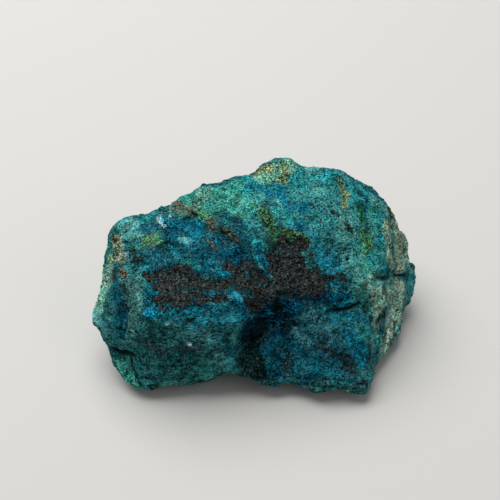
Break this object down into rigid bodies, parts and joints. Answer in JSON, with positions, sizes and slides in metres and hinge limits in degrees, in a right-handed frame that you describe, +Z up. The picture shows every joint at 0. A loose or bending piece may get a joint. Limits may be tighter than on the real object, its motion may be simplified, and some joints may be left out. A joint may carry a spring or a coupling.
{
  "type": "chrysocolla specimen",
  "caption": "Rough broken piece of blue-green chrysocolla with black crusts, a stepped roof and a split, hollowed front; it lies on its broadest face.",
  "frame": {"origin": "bottom centre of the stone's box, on the surface that it lies on", "axes": "+Z up, +X along the stone's longest side, -Y towards its broken, hollowed front"},
  "size_m": [0.093, 0.062, 0.044],
  "materials": {
    "chrysocolla": "rough broken stone, blue to green, with black and ochre patches and a dull waxy lustre"
  },
  "bodies": {
    "root": {"stone": "chrysocolla"}
  },
  "joints": []
}
